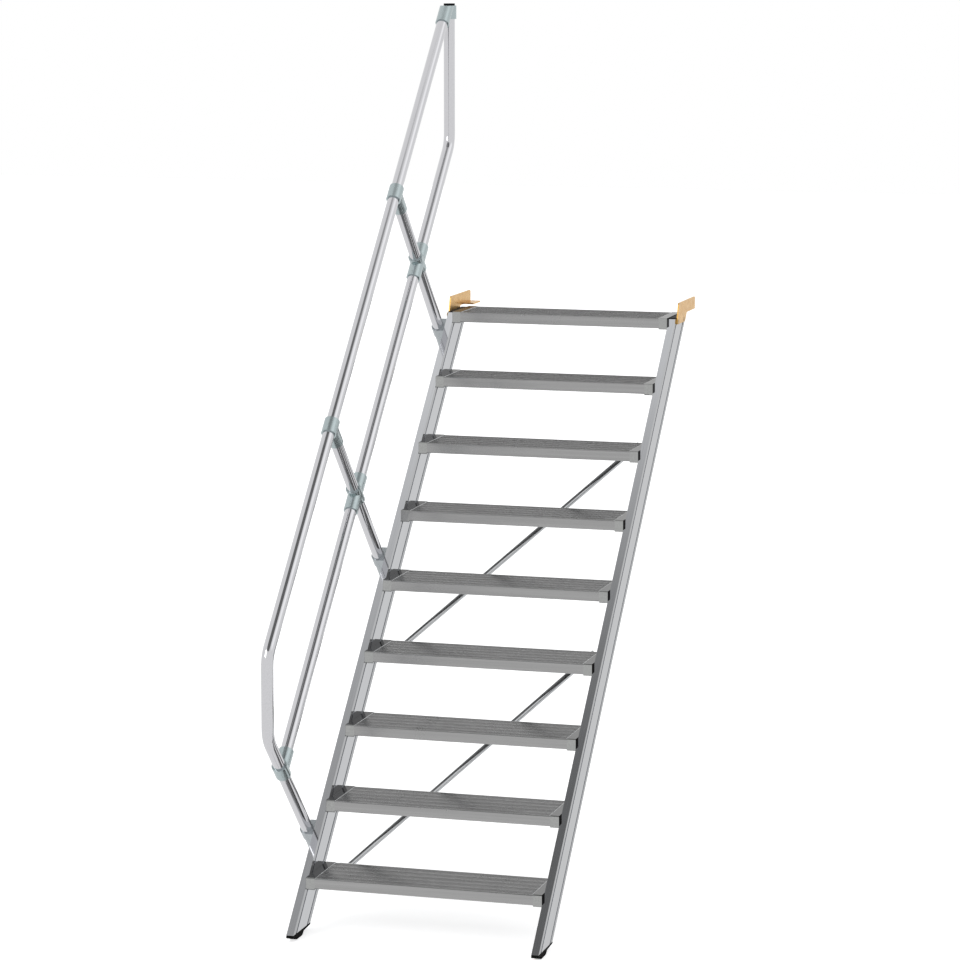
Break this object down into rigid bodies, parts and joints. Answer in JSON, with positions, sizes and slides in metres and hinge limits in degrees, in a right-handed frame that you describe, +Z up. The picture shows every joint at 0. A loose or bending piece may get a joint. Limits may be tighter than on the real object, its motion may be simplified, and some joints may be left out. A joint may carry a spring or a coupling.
{
  "type": "aluminium stair with one handrail",
  "caption": "Straight open-riser aluminium stair with ribbed treads, grooved stringers, a tubular handrail on one side, diagonal braces and brackets for a landing.",
  "frame": {"origin": "centre of the underside of the left top bracket's seat flange, where it rests on the landing", "axes": "+Z up, +Y up the flight towards the landing, +X to the right as one climbs"},
  "size_m": [0.8955, 2.21, 2.9401],
  "materials": {
    "stringer_alu": "mill finish extrusion",
    "tread_alu": "ribbed extrusion",
    "tread_end_alu": "satin casting",
    "rail_alu": "drawn tube",
    "fitting_cast": "matte casting",
    "socket_cast": "matte casting",
    "black_plastic": "moulded",
    "foot_rubber": "moulded",
    "yellow_zinc": "yellow passivated zinc",
    "brace_alu": "drawn tube"
  },
  "bodies": {
    "root": {"left_stringer": "stringer_alu", "left_foot": "foot_rubber", "left_end_cap": "black_plastic", "left_tread_ends": "tread_end_alu", "left_top_bracket": "yellow_zinc", "right_stringer": "stringer_alu", "right_foot": "foot_rubber", "right_end_cap": "black_plastic", "right_tread_ends": "tread_end_alu", "right_top_bracket": "yellow_zinc", "tread_1": "tread_alu", "tread_2": "tread_alu", "tread_3": "tread_alu", "tread_4": "tread_alu", "tread_5": "tread_alu", "tread_6": "tread_alu", "tread_7": "tread_alu", "tread_8": "tread_alu", "tread_9": "tread_alu", "top_rail": "rail_alu", "knee_rail": "rail_alu", "post_1": "rail_alu", "lower_post_2": "rail_alu", "upper_post_2": "rail_alu", "lower_post_3": "rail_alu", "upper_post_3": "rail_alu", "rail_tees": "fitting_cast", "rail_crosses": "fitting_cast", "top_fitting": "fitting_cast", "post_sockets": "socket_cast", "rail_plug": "black_plastic", "lower_brace": "brace_alu", "upper_brace": "brace_alu"}
  },
  "joints": []
}
